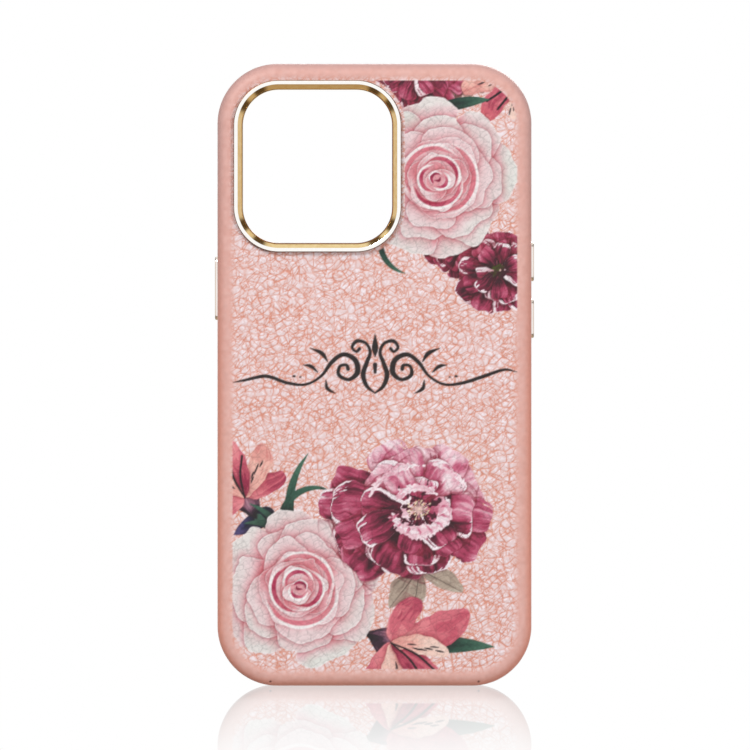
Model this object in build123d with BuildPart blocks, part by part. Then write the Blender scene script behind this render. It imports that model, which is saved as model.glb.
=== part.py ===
# Leather-covered phone case with a metal camera frame and three metal keys. Millimetres.
#
# The case stands on its bottom edge: +Z runs up to the camera end, the printed leather back
# faces -Y and the open side, where the handset goes in, faces +Y. The origin is the centre of
# the bottom edge, half way between the front of the lip and the face of the camera frame.
#
# Depths are measured along -Y, so a larger depth is nearer the printed back. Insets are
# measured inwards from the outline of the leather.
from build123d import *

import os

# ---------------------------------------------------------------- handset and fit
HANDSET_WIDTH = 71.5
HANDSET_HEIGHT = 146.7
HANDSET_THICKNESS = 7.65
HANDSET_CORNER_R = 12.0
FIT_GAP = 0.10              # slip fit between handset and bumper, each side
GLASS_GAP = 0.05            # between the handset's glass and the lip

# ---------------------------------------------------------------- wall, from the outside in
LEATHER = 0.90
SHELL_WALL = 1.00
BUMPER_WALL = 0.60
SHELL_INSET = LEATHER
BUMPER_INSET = SHELL_INSET + SHELL_WALL
BAY_INSET = BUMPER_INSET + BUMPER_WALL
OUTLINE_GROWTH = BAY_INSET + FIT_GAP

WIDTH = HANDSET_WIDTH + 2 * OUTLINE_GROWTH
HEIGHT = HANDSET_HEIGHT + 2 * OUTLINE_GROWTH
CORNER_R = HANDSET_CORNER_R + OUTLINE_GROWTH
HALF_WIDTH = WIDTH / 2

# ---------------------------------------------------------------- back, from the inside out
LINING = 0.40
LINING_FILM = 0.10
SHELL_BACK = 1.00
LEATHER_FILM = 0.10
FRAME_PROUD = 1.20          # camera frame above the leather
LIP_HEIGHT = 1.00           # front lip above the handset's glass
LIP_REACH = 0.80            # front lip over the edge of the bay

BACK_STACK = LINING + LINING_FILM + SHELL_BACK + LEATHER_FILM + LEATHER
BODY_DEPTH = BACK_STACK + HANDSET_THICKNESS + GLASS_GAP + LIP_HEIGHT
TOTAL_DEPTH = BODY_DEPTH + FRAME_PROUD

FRAME_TOP = TOTAL_DEPTH / 2
LEATHER_BACK = FRAME_TOP - FRAME_PROUD
FILM_BACK = LEATHER_BACK - LEATHER
SHELL_OUTER = FILM_BACK - LEATHER_FILM
SHELL_FLOOR = SHELL_OUTER - SHELL_BACK
LINING_BACK = SHELL_FLOOR - LINING_FILM
BAY_FLOOR = LINING_BACK - LINING
LIP_FRONT = -TOTAL_DEPTH / 2
SEAM = LIP_FRONT + LIP_HEIGHT           # leather and shell end here, under the lip

BACK_ROUND = 3.0            # rounding of the leather's back edge
LIP_ROUND = 0.7             # outer front edge of the lip
LIP_CHAMFER = 0.4           # inner front edge of the lip
SIDE_DEPTH = BAY_FLOOR - HANDSET_THICKNESS / 2      # middle of the handset's side

# ---------------------------------------------------------------- camera frame
FRAME_X = -13.9
FRAME_Z = 126.8
FRAME_WIDTH = 40.9
FRAME_HEIGHT = 41.9
FRAME_CORNER_R = 11.0
FRAME_FLAT = 1.0            # polished flat face, outer chamfer included
FRAME_OUTER_CHAMFER = 0.15
FRAME_BEVEL = 1.25          # width of the inner bevel
FRAME_BEVEL_DEPTH = 1.5
FRAME_FLANGE = 1.4          # flange over the leather
GASKET = 0.15
GASKET_MARGIN = 0.25
NECK_CLEARANCE = 0.15
LINING_CLEARANCE = 0.35

# ---------------------------------------------------------------- keys
KEY_TRAVEL = 0.35
KEY_PROUD = 0.70
KEY_WIDTH = 2.8
KEY_CLEARANCE = 0.15        # gap round the key in the leather
KEY_FLOOR_GAP = 0.05        # left under the key at full travel
KEY_EDGE = 0.30             # bevel round the key's face
SHELL_WEB = 0.60            # shell left under a key
STEM_LENGTH = 1.8
STEM_WIDTH = 1.4
STEM_CLEARANCE = 0.10
STEM_SPACING = 0.46         # of the key's length
STEM_INTO_PAD = 0.17
CLIP = 0.20
CLIP_GAP = 0.03
CLIP_WIDTH = 3.4
PAD = 0.50
PAD_WIDTH = 2.6
POCKET_MARGIN = 0.30
STEM_CORNER_R = 0.2
CLIP_CORNER_R = 0.5
CLIP_SHORTER = 1.0          # clip and pad, against the key's length
PAD_SHORTER = 1.6
ROUND_END_TRIM = 0.01       # short flat left at the tip of a full-round end

POWER_KEY_Z = 97.1
POWER_KEY_LENGTH = 15.6
VOLUME_UP_Z = 103.6
VOLUME_DOWN_Z = 89.7
VOLUME_KEY_LENGTH = 9.6
KEYS = [
    ("power_key", -1, POWER_KEY_Z, POWER_KEY_LENGTH),
    ("volume_up_key", 1, VOLUME_UP_Z, VOLUME_KEY_LENGTH),
    ("volume_down_key", 1, VOLUME_DOWN_Z, VOLUME_KEY_LENGTH),
]

# ---------------------------------------------------------------- openings in the edge
LEATHER_REVEAL = 0.35       # leather stops this far outside the shell's opening
SWITCH_Z = 116.8
SWITCH_LENGTH = 9.0
SWITCH_WIDTH = 4.8
SWITCH_CORNER_R = 1.5
PORT_LENGTH = 13.4
PORT_WIDTH = 5.8
PORT_CORNER_R = 2.2
SPEAKER_X = 17.6
SPEAKER_LENGTH = 15.4
SPEAKER_WIDTH = 3.6
SPEAKER_CORNER_R = 1.7


# ================================================================ shared shapes
def slab(inset, front, back, edge_round=0.0):
    """Solid with the case's outline, taken in by inset, between two depths."""
    with BuildPart(mode=Mode.PRIVATE) as block:
        with BuildSketch(Plane.XZ.offset(front)):
            with Locations((0, HEIGHT / 2)):
                RectangleRounded(WIDTH - 2 * inset, HEIGHT - 2 * inset, CORNER_R - inset)
        extrude(amount=back - front)
        if edge_round:
            fillet(block.faces().sort_by(Axis.Y)[0].edges(), edge_round)
    return block.part


def camera_block(margin, front, back):
    """Solid with the camera frame's outline, grown by margin, between two depths."""
    with BuildPart(mode=Mode.PRIVATE) as block:
        with BuildSketch(Plane.XZ.offset(front)):
            with Locations((FRAME_X, FRAME_Z)):
                RectangleRounded(
                    FRAME_WIDTH + 2 * margin,
                    FRAME_HEIGHT + 2 * margin,
                    FRAME_CORNER_R + margin,
                )
        extrude(amount=back - front)
    return block.part


def side_plane(side, z, x):
    """Plane on a long edge of the case: local X runs up the edge, the normal points out."""
    return Plane(origin=(side * x, -SIDE_DEPTH, z), x_dir=(0, 0, 1), z_dir=(side, 0, 0))


def side_block(side, z, length, width, corner_r, inner_x, outer_x):
    """Rounded block through a long edge, from inner_x to outer_x off the centre plane."""
    with BuildPart(mode=Mode.PRIVATE) as block:
        with BuildSketch(side_plane(side, z, inner_x)):
            RectangleRounded(length, width, corner_r)
        extrude(amount=outer_x - inner_x)
    return block.part


def bottom_block(x, length, width, corner_r, low, high):
    """Rounded block through the bottom edge, from low to high."""
    with BuildPart(mode=Mode.PRIVATE) as block:
        with BuildSketch(Plane.XY.offset(low)):
            with Locations((x, -SIDE_DEPTH)):
                RectangleRounded(length, width, corner_r)
        extrude(amount=high - low)
    return block.part


def edge_openings(reveal):
    """Switch, port and speaker openings, each grown by reveal, through the whole wall."""
    through = OUTLINE_GROWTH + 1
    grow = 2 * reveal
    blocks = [
        side_block(1, SWITCH_Z, SWITCH_LENGTH + grow, SWITCH_WIDTH + grow,
                   SWITCH_CORNER_R + reveal, HALF_WIDTH - through, HALF_WIDTH + 1),
        bottom_block(0, PORT_LENGTH + grow, PORT_WIDTH + grow,
                     PORT_CORNER_R + reveal, -1, through),
    ]
    for x in (-SPEAKER_X, SPEAKER_X):
        blocks.append(bottom_block(x, SPEAKER_LENGTH + grow, SPEAKER_WIDTH + grow,
                                   SPEAKER_CORNER_R + reveal, -1, through))
    return blocks


def save(piece, name):
    """Label a finished piece and write its STEP file."""
    piece.label = name
    export_step(piece, "parts/" + name + ".step")


# Distances from the centre plane to each layer of a long edge
LEATHER_X = HALF_WIDTH
SHELL_X = HALF_WIDTH - SHELL_INSET
BUMPER_X = HALF_WIDTH - BUMPER_INSET
BAY_X = HALF_WIDTH - BAY_INSET
WEB_X = SHELL_X - SHELL_WEB
KEY_TOP_X = LEATHER_X + KEY_PROUD
KEY_BASE_X = SHELL_X + KEY_TRAVEL + KEY_FLOOR_GAP
CLIP_X = WEB_X - CLIP_GAP
PAD_X = CLIP_X - CLIP

NECK_MARGIN = -FRAME_FLANGE
WINDOW_MARGIN = -FRAME_FLAT - FRAME_BEVEL

os.makedirs("parts", exist_ok=True)

# ================================================================ leather cover
leather_body = slab(0, SEAM, LEATHER_BACK, BACK_ROUND)
leather_inside = slab(LEATHER, SEAM - 1, FILM_BACK, BACK_ROUND - LEATHER)
leather_window = camera_block(NECK_MARGIN + NECK_CLEARANCE, SHELL_FLOOR, FRAME_TOP)
leather_cuts = edge_openings(LEATHER_REVEAL)
for key_name, key_side, key_z, key_length in KEYS:
    leather_cuts.append(side_block(
        key_side, key_z,
        key_length + 2 * KEY_CLEARANCE,
        KEY_WIDTH + 2 * KEY_CLEARANCE,
        KEY_WIDTH / 2 + KEY_CLEARANCE - ROUND_END_TRIM,
        BAY_X, KEY_TOP_X,
    ))

with BuildPart() as leather_cover:
    add(leather_body)
    add(leather_inside, mode=Mode.SUBTRACT)
    add(leather_window, mode=Mode.SUBTRACT)
    add(leather_cuts, mode=Mode.SUBTRACT)
save(leather_cover.part, "leather_cover")

# ================================================================ film under the leather
film_sheet = slab(BACK_ROUND + 0.3, SHELL_OUTER, FILM_BACK)
film_window = camera_block(NECK_MARGIN + LINING_CLEARANCE, BAY_FLOOR, LEATHER_BACK)

with BuildPart() as leather_bond_film:
    add(film_sheet)
    add(film_window, mode=Mode.SUBTRACT)
save(leather_bond_film.part, "leather_bond_film")

# ================================================================ hard shell
shell_body = slab(SHELL_INSET, SEAM, SHELL_OUTER, BACK_ROUND - LEATHER)
shell_inside = slab(BUMPER_INSET, SEAM - 1, SHELL_FLOOR)
shell_window = camera_block(NECK_MARGIN + NECK_CLEARANCE, BAY_FLOOR, LEATHER_BACK)
shell_cuts = edge_openings(0)
for key_name, key_side, key_z, key_length in KEYS:
    pocket_length = key_length + 2 * POCKET_MARGIN
    pocket_width = CLIP_WIDTH + 2 * POCKET_MARGIN
    shell_cuts.append(side_block(
        key_side, key_z, pocket_length, pocket_width, POCKET_MARGIN, BAY_X, WEB_X,
    ))
    for step in (-0.5, 0.5):
        stem_z = key_z + step * STEM_SPACING * key_length
        shell_cuts.append(side_block(
            key_side, stem_z,
            STEM_LENGTH + 2 * STEM_CLEARANCE,
            STEM_WIDTH + 2 * STEM_CLEARANCE,
            STEM_CORNER_R + STEM_CLEARANCE, BAY_X, KEY_TOP_X,
        ))

with BuildPart() as hard_shell:
    add(shell_body)
    add(shell_inside, mode=Mode.SUBTRACT)
    add(shell_window, mode=Mode.SUBTRACT)
    add(shell_cuts, mode=Mode.SUBTRACT)
save(hard_shell.part, "hard_shell")

# ================================================================ soft bumper with front lip
bumper_liner = slab(BUMPER_INSET, SEAM, SHELL_FLOOR)
bumper_bay = slab(BAY_INSET, SEAM, SHELL_FLOOR)
bumper_mouth = slab(BAY_INSET + LIP_REACH, LIP_FRONT, SEAM)
bumper_cuts = edge_openings(0)
for key_name, key_side, key_z, key_length in KEYS:
    bumper_cuts.append(side_block(
        key_side, key_z,
        key_length + 2 * POCKET_MARGIN,
        CLIP_WIDTH + 2 * POCKET_MARGIN,
        POCKET_MARGIN, BAY_X - 1, BUMPER_X + 0.1,
    ))

with BuildPart() as bumper_frame:
    with BuildSketch(Plane.XZ.offset(LIP_FRONT)):
        with Locations((0, HEIGHT / 2)):
            RectangleRounded(WIDTH, HEIGHT, CORNER_R)
    extrude(amount=SEAM - LIP_FRONT)
    fillet(bumper_frame.faces().sort_by(Axis.Y)[-1].edges(), LIP_ROUND)
    add(bumper_liner)
    add(bumper_mouth, mode=Mode.SUBTRACT)
    chamfer(bumper_frame.faces().sort_by(Axis.Y)[-1].inner_wires().edges(), LIP_CHAMFER)
    add(bumper_bay, mode=Mode.SUBTRACT)
    add(bumper_cuts, mode=Mode.SUBTRACT)
save(bumper_frame.part, "bumper_frame")

# ================================================================ lining and its film
lining_sheet = slab(BAY_INSET + 0.05, BAY_FLOOR, LINING_BACK)
lining_window = camera_block(NECK_MARGIN + LINING_CLEARANCE, BAY_FLOOR - 1, SHELL_OUTER)
lining_film_sheet = slab(BAY_INSET + 0.5, LINING_BACK, SHELL_FLOOR)

with BuildPart() as microfibre_lining:
    add(lining_sheet)
    add(lining_window, mode=Mode.SUBTRACT)
save(microfibre_lining.part, "microfibre_lining")

with BuildPart() as lining_bond_film:
    add(lining_film_sheet)
    add(lining_window, mode=Mode.SUBTRACT)
save(lining_bond_film.part, "lining_bond_film")

# ================================================================ camera frame
frame_flange = camera_block(0, LEATHER_BACK + GASKET, FRAME_TOP)
frame_neck = camera_block(NECK_MARGIN, BAY_FLOOR, LEATHER_BACK + GASKET)
frame_window = camera_block(WINDOW_MARGIN, BAY_FLOOR - 1, FRAME_TOP + 1)

with BuildPart() as frame_bevel:
    for depth, margin in ((FRAME_TOP - FRAME_BEVEL_DEPTH, WINDOW_MARGIN), (FRAME_TOP, -FRAME_FLAT)):
        with BuildSketch(Plane.XZ.offset(depth)):
            with Locations((FRAME_X, FRAME_Z)):
                RectangleRounded(
                    FRAME_WIDTH + 2 * margin,
                    FRAME_HEIGHT + 2 * margin,
                    FRAME_CORNER_R + margin,
                )
    loft(ruled=True)

with BuildPart() as camera_frame:
    add(frame_flange)
    chamfer(camera_frame.faces().sort_by(Axis.Y)[0].edges(), FRAME_OUTER_CHAMFER)
    add(frame_neck)
    add(frame_window, mode=Mode.SUBTRACT)
    add(frame_bevel.part, mode=Mode.SUBTRACT)
save(camera_frame.part, "camera_frame")

gasket_sheet = camera_block(-GASKET_MARGIN, LEATHER_BACK, LEATHER_BACK + GASKET)
gasket_window = camera_block(NECK_MARGIN + NECK_CLEARANCE, BAY_FLOOR, FRAME_TOP)

with BuildPart() as camera_frame_gasket:
    add(gasket_sheet)
    add(gasket_window, mode=Mode.SUBTRACT)
save(camera_frame_gasket.part, "camera_frame_gasket")


# ================================================================ keys
def stem_blocks(side, z, length, inner_x, outer_x):
    """The two stems of a key, between two distances from the centre plane."""
    offset = STEM_SPACING * length / 2
    return [
        side_block(side, z + step, STEM_LENGTH, STEM_WIDTH, STEM_CORNER_R, inner_x, outer_x)
        for step in (-offset, offset)
    ]


for key_name, key_side, key_z, key_length in KEYS:
    key_cap = side_block(key_side, key_z, key_length, KEY_WIDTH,
                         KEY_WIDTH / 2 - ROUND_END_TRIM, KEY_BASE_X, KEY_TOP_X)
    key_stems = stem_blocks(key_side, key_z, key_length, PAD_X - STEM_INTO_PAD, KEY_BASE_X)
    key_face = Axis.X if key_side > 0 else -Axis.X
    with BuildPart() as key:
        add(key_cap)
        chamfer(key.faces().sort_by(key_face)[-1].edges(), KEY_EDGE)
        add(key_stems)
    save(key.part, key_name)

    clip_plate = side_block(key_side, key_z, key_length - CLIP_SHORTER, CLIP_WIDTH,
                            CLIP_CORNER_R, PAD_X, CLIP_X)
    with BuildPart() as key_clip:
        add(clip_plate)
        add(key_stems, mode=Mode.SUBTRACT)
    save(key_clip.part, key_name + "_clip")

    pad_block = side_block(key_side, key_z, key_length - PAD_SHORTER, PAD_WIDTH,
                           PAD_WIDTH / 2 - ROUND_END_TRIM, PAD_X - PAD, PAD_X)
    with BuildPart() as key_pad:
        add(pad_block)
        add(key_stems, mode=Mode.SUBTRACT)
    save(key_pad.part, key_name + "_pad")

print("outline", round(WIDTH, 2), "x", round(HEIGHT, 2), "depth", round(TOTAL_DEPTH, 2))
print("bay floor depth", round(BAY_FLOOR, 3), "seam depth", round(SEAM, 3))
print("key face at", round(KEY_TOP_X, 3), "pad inner face at", round(PAD_X - PAD, 3))
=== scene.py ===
"""A leather-covered phone case: grained skin with a floral print, gilt camera frame, metal keys."""

import math

import bpy
import numpy as np
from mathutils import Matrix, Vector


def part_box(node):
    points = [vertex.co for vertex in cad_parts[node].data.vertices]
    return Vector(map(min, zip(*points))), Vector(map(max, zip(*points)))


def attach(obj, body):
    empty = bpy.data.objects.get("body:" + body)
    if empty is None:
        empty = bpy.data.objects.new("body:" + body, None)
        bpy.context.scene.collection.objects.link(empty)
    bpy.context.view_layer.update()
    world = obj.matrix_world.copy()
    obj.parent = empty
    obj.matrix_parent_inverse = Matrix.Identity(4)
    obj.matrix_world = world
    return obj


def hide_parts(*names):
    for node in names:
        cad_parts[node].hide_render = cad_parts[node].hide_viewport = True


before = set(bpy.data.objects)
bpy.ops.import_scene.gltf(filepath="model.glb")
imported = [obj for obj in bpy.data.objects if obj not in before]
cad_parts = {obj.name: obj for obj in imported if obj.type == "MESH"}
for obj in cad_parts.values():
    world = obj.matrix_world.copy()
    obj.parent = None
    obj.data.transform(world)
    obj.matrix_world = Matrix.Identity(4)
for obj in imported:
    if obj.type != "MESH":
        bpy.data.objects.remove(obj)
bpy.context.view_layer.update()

MM = 0.001

# ------------------------------------------------------------------ the case's own sizes, in mm
skin_low, skin_high = (np.array(corner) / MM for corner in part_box("leather_cover"))
HALF_W = float(skin_high[0])
MID_Z = float(skin_low[2] + skin_high[2]) / 2
HALF_H = float(skin_high[2] - skin_low[2]) / 2
BACK_Y = float(skin_low[1])
SEAM_Y = float(skin_high[1])
CORNER = 14.6               # outline corner, seen from the back
ROUND = 3.0                 # rolled edge between back and sides
QUARTER = ROUND * math.pi / 2
SKIRT = QUARTER + SEAM_Y - BACK_Y - ROUND
LEATHER = 0.9
SIDE_Y = 1.325              # middle of the keys and edge openings
FRAME_X, FRAME_Z = -13.9, 126.8
FRAME_HALF = (20.45, 20.95)
FRAME_R = 11.0
WINDOW_INSET = 1.25         # the leather's window, inside the frame's outline
LINING_INSET = 1.05         # the lining's window, likewise
# side of the case, middle and length of each key
KEYS = {"power_key": (-1, 97.1, 15.6), "volume_up_key": (1, 103.6, 9.6), "volume_down_key": (1, 89.7, 9.6)}
KEY_GAP = 0.15              # between a key's end and its slot
SLOT_HALF, SLOT_R = 1.55, 1.54
KEY_HALF, KEY_R = 1.4, 1.39
# a key's two stems: how far apart as a share of its length, their half sizes and their corner
STEM_AT, STEM_HALF, STEM_R = 0.46, (0.7, 0.9), 0.2
KEY_ROOT = 0.5              # how far below the skin a key's cap begins
ALERT_SWITCH = (1, 116.8, 4.85, 2.75, 1.85)     # side, middle, half length, half width, corner
# middle, half length, half width and corner of the port and the two speaker openings in the bottom edge
BOTTOM_OPENINGS = ((0, 7.05, 3.25, 2.55), (-17.6, 8.05, 2.15, 2.05), (17.6, 8.05, 2.15, 2.05))
PIN_X, PIN_Z = 25.4, 1.05   # the two pin marks on the bottom roll


# ================================================================== numbers
def smooth(low, high, x):
    """0 below low, 1 above high, eased between."""
    t = np.clip((x - low) / (high - low), 0, 1)
    return t * t * (3 - 2 * t)


def blend(a, b, t):
    """Colour a to colour b; t is an array."""
    t = np.asarray(t)[..., None]
    return np.asarray(a) * (1 - t) + np.asarray(b) * t


def rounded(u, v, half_u, half_v, r):
    """Distance outside a rounded rectangle centred on the origin; negative inside it."""
    qu, qv = np.abs(u) - half_u + r, np.abs(v) - half_v + r
    return np.hypot(np.maximum(qu, 0), np.maximum(qv, 0)) + np.minimum(np.maximum(qu, qv), 0) - r


# the random values that noise and wander look up
LATTICE = np.random.default_rng(11).random((256, 256))


def noise(x, z, size, seed=0):
    """Smooth noise from 0 to 1 with features of about size."""
    x, z = x / size + 17.3 * seed, z / size + 41.7 * seed
    i, j = np.floor(x).astype(int), np.floor(z).astype(int)
    fx, fz = smooth(0, 1, x - i), smooth(0, 1, z - j)
    i0, i1, j0, j1 = i & 255, (i + 1) & 255, j & 255, (j + 1) & 255
    low = LATTICE[i0, j0] * (1 - fx) + LATTICE[i1, j0] * fx
    high = LATTICE[i0, j1] * (1 - fx) + LATTICE[i1, j1] * fx
    return low * (1 - fz) + high * fz


def cells(x, z, size, seed):
    """Distances in mm to the nearest and second nearest of a field of scattered points."""
    jitter = np.random.default_rng(seed).random((2, 256, 256)) * 0.86 + 0.07
    i, j = np.floor(x / size).astype(int), np.floor(z / size).astype(int)
    first = np.full(x.shape, 9e9)
    second = first.copy()
    for di in range(-2, 3):
        for dj in range(-2, 3):
            a, b = (i + di) & 255, (j + dj) & 255
            away = np.hypot((i + di + jitter[0, a, b]) * size - x, (j + dj + jitter[1, a, b]) * size - z)
            second = np.where(away < first, first, np.minimum(second, away))
            first = np.minimum(first, away)
    return first, second


# ================================================================== the print
# A canvas over the flat of the back, in mm. Paint is kept multiplied by its cover.
DOT = 0.16
LEFT, BOTTOM = -35.4, 3.2
CANVAS_X, CANVAS_Z = np.meshgrid(np.arange(LEFT, 35.4, DOT), np.arange(BOTTOM, 148.6, DOT))
paint = np.zeros(CANVAS_X.shape + (3,))
cover = np.zeros(CANVAS_X.shape)


def area(x0, x1, z0, z1):
    """The canvas between those limits: its slices and its dots' places, or None if it is off the canvas."""
    i0, i1 = (int(np.clip((v - LEFT) / DOT, 0, CANVAS_X.shape[1])) for v in (x0, x1 + DOT))
    j0, j1 = (int(np.clip((v - BOTTOM) / DOT, 0, CANVAS_X.shape[0])) for v in (z0, z1 + DOT))
    if i1 - i0 < 3 or j1 - j0 < 3:
        return None
    at = (slice(j0, j1), slice(i0, i1))
    return at, CANVAS_X[at], CANVAS_Z[at]


def lay(at, inside, colour):
    """Lays colour where inside, the distance in mm inside the shape, is above zero."""
    a = np.clip(inside / DOT + 0.5, 0, 1)
    paint[at] = paint[at] * (1 - a[..., None]) + np.asarray(colour) * a[..., None]
    cover[at] = cover[at] * (1 - a) + a


def shade(at, inside, reach, depth, tint=(0.62, 0.30, 0.36)):
    """Darkens what is already painted just outside a shape."""
    a = depth * np.exp(-np.maximum(-inside, 0) / reach) * (inside < DOT)
    paint[at] *= 1 - a[..., None] * (1 - np.asarray(tint))


def in_mm(f):
    """An implicit shape's value turned into distance from its edge."""
    gz, gx = np.gradient(f, DOT)
    return f / np.maximum(np.hypot(gx, gz), 0.02)


def ramp(stops, t):
    """Colour t, 0 to 1, along evenly spaced stops, in soft steps as a brush leaves them."""
    steps = 6.0
    t = np.clip(t, 0, 1) * steps
    t = (np.floor(t) + smooth(0.34, 0.66, t - np.floor(t))) / steps
    stops = np.array(stops)
    where = np.linspace(0, 1, len(stops))
    return np.stack([np.interp(t, where, stops[:, k]) for k in range(3)], -1)


def turned(x, z, degrees):
    """A point turned about the origin."""
    c, s = math.cos(math.radians(degrees)), math.sin(math.radians(degrees))
    return x * c - z * s, x * s + z * c


def stroke(points, colour, rough=0.0):
    """A brush line through (x, z, width) points. colour is one colour, or several that the line runs through.
    rough frays its edges."""
    pts = np.array(points, float)
    ends = np.vstack([2 * pts[0] - pts[1], pts, 2 * pts[-1] - pts[-2]])
    line = []
    for k in range(len(pts) - 1):
        a, b, c, d = ends[k:k + 4]
        for t in np.linspace(0, 1, 12, endpoint=k == len(pts) - 2):
            line.append(0.5 * (2 * b + (c - a) * t + (2 * a - 5 * b + 4 * c - d) * t ** 2
                               + (3 * b - a - 3 * c + d) * t ** 3))
    line = np.array(line)
    half = np.maximum(line[:, 2], 0.05) / 2
    reach = half.max() + 0.4
    low, high = line.min(0) - reach, line.max(0) + reach
    spot = area(low[0], high[0], low[1], high[1])
    if spot is None:
        return
    at, x, z = spot
    inside = np.full(x.shape, -9.0)
    along = np.zeros(x.shape)
    for k in range(len(line) - 1):
        run = line[k + 1, :2] - line[k, :2]
        t = np.clip(((x - line[k, 0]) * run[0] + (z - line[k, 1]) * run[1]) / (run @ run + 1e-12), 0, 1)
        away = np.hypot(x - line[k, 0] - t * run[0], z - line[k, 1] - t * run[1])
        gap = half[k] + (half[k + 1] - half[k]) * t - away
        along = np.where(gap > inside, (k + t) / (len(line) - 1), along)
        inside = np.maximum(inside, gap)
    if rough:
        inside = inside + rough * (noise(x, z, 0.55, 31) - 0.5)
    if np.ndim(colour) == 2:
        grain = noise(x, z, 0.5, 3) - 0.5
        colour = ramp(colour, along + 0.25 * grain + 0.18 * np.sin(inside * 3))
    lay(at, inside, colour)


def petal(base, tip, width, bend, blunt, stops, tones, seed, ragged, streak,
          rim=(0, 0), full=0.7, shadow=0.5):
    """A brushed petal from base to tip. Its colours run from the first tone to the second of its stops.
    rim is a pale (side, width): side 1 is the left, -1 the right and 2 the tip."""
    bx, bz = base
    ax, az = tip[0] - bx, tip[1] - bz
    long = math.hypot(ax, az)
    ax, az = ax / long, az / long
    reach = width / 2 + abs(bend) * long + 1
    spot = area(min(bx, tip[0]) - reach, max(bx, tip[0]) + reach,
                min(bz, tip[1]) - reach, max(bz, tip[1]) + reach)
    if spot is None:
        return
    at, x, z = spot
    wx = x + 0.9 * (noise(x, z, 2.2, seed) - 0.5)
    wz = z + 0.9 * (noise(x, z, 2.2, seed + 5) - 0.5)
    t = ((wx - bx) * ax + (wz - bz) * az) / long
    v = -(wx - bx) * az + (wz - bz) * ax - bend * long * 4 * t * (1 - t)
    inside_t = np.clip(t, 1e-4, 1 - 1e-4)
    peak = full / (full + blunt)
    top = peak ** full * (1 - peak) ** blunt
    half = width / 2 * inside_t ** full * (1 - inside_t) ** blunt / top
    f = np.where((t <= 0) | (t >= 1), -2.0, np.maximum(1 - np.abs(v) / np.maximum(half, 0.03), -2.0))
    fan = v / np.maximum(half, 0.3)
    frill = noise(fan * 4.5, t * 1.2, 1, seed + 2) - 0.5
    jag = noise(fan * 11, t * 2.0, 1, seed + 6) - 0.5
    f = f + ragged * (frill + 0.7 * jag) * smooth(0.35, 0.9, t)
    f = f + 0.3 * ragged * (noise(x, z, 0.7, seed) - 0.5)
    inside = in_mm(f)
    shade(at, inside, 0.55, shadow)
    veins = noise(fan * 5.5, t * 1.6, 1, seed + 7) - 0.5
    fine = noise(fan * 13, t * 2.5, 1, seed + 9) - 0.5
    patch = noise(x + 1.3 * fine, z + 1.3 * veins, 2.3, seed + 4) - 0.5
    value = tones[0] + (tones[1] - tones[0]) * smooth(0, 1, t)
    colour = ramp(stops, value + streak * (1.1 * veins + 0.8 * fine + 1.7 * patch))
    side, thick = rim
    if thick:
        where = smooth(0.72, 0.85, t) if side == 2 else smooth(0.0, 0.3, side * fan)
        edge = thick * (0.45 + 1.1 * noise(t * 5, fan * 2, 1, seed + 3)) * where
        colour = blend(colour, (0.95, 0.90, 0.92), smooth(-0.08, 0.08, edge - inside) * (inside > -0.3))
        seam = smooth(-0.1, 0.05, edge + 0.22 - inside) * smooth(-0.1, 0.05, inside - edge) * (edge > 0.15)
        colour = blend(colour, (0.30, 0.07, 0.14), 0.45 * seam)
    lay(at, inside, colour)


ROSE_PINK, ROSE_PALE, ROSE_GREEN = (0.860, 0.595, 0.625), (0.910, 0.815, 0.825), (0.875, 0.888, 0.866)
ROSE_WHITE, ROSE_WARM, CRIMSON = (0.955, 0.935, 0.932), (0.845, 0.490, 0.545), (0.660, 0.190, 0.325)
DEEP, WINE, MAGENTA = (0.215, 0.060, 0.110), (0.425, 0.125, 0.215), (0.640, 0.230, 0.350)
MAUVE, BLUSH, PEARL = (0.760, 0.385, 0.495), (0.885, 0.665, 0.725), (0.950, 0.860, 0.885)
PEONY = (DEEP, WINE, MAGENTA, MAUVE, BLUSH, PEARL)
SALMON = ((0.56, 0.16, 0.27), (0.76, 0.34, 0.41), (0.87, 0.51, 0.54), (0.92, 0.66, 0.66), (0.91, 0.75, 0.71))
BLUSHED = ((0.83, 0.52, 0.50), (0.92, 0.71, 0.66), (0.94, 0.80, 0.75), (0.93, 0.84, 0.80))
TAUPE = ((0.36, 0.31, 0.27), (0.56, 0.49, 0.44), (0.69, 0.62, 0.56), (0.82, 0.79, 0.73))
GREENS = ((0.07, 0.15, 0.13), (0.15, 0.28, 0.23), (0.24, 0.39, 0.32))
BLACK, CREAM = (0.085, 0.060, 0.080), (0.930, 0.860, 0.730)
CALYX = (BLACK, (0.20, 0.12, 0.18), (0.55, 0.38, 0.46), (0.72, 0.56, 0.60))
CURL = (PEARL, (0.965, 0.915, 0.930), BLUSH, PEARL)
RUFFLE = (PEARL, (0.955, 0.895, 0.915), BLUSH, PEARL, (0.955, 0.895, 0.915), BLUSH)


def wander(seed, k):
    """A fixed but irregular number from -0.5 to 0.5, for the kth petal of a flower."""
    return LATTICE[seed & 255, k & 255] - 0.5


def spoke(x, z, half_x, half_z, degrees, share=1.0):
    """A point at a share of the way from a centre out to an ellipse."""
    a = math.radians(degrees)
    return x + half_x * share * math.cos(a), z + half_z * share * math.sin(a)


def arc(x, z, half_x, half_z, start, sweep, widths, colour, rough=0.0):
    """A brush line along an ellipse, its widths evenly spaced."""
    line = []
    for k, width in enumerate(widths):
        line.append((*spoke(x, z, half_x, half_z, start + sweep * k / (len(widths) - 1)), width))
    stroke(line, colour, rough)


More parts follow.
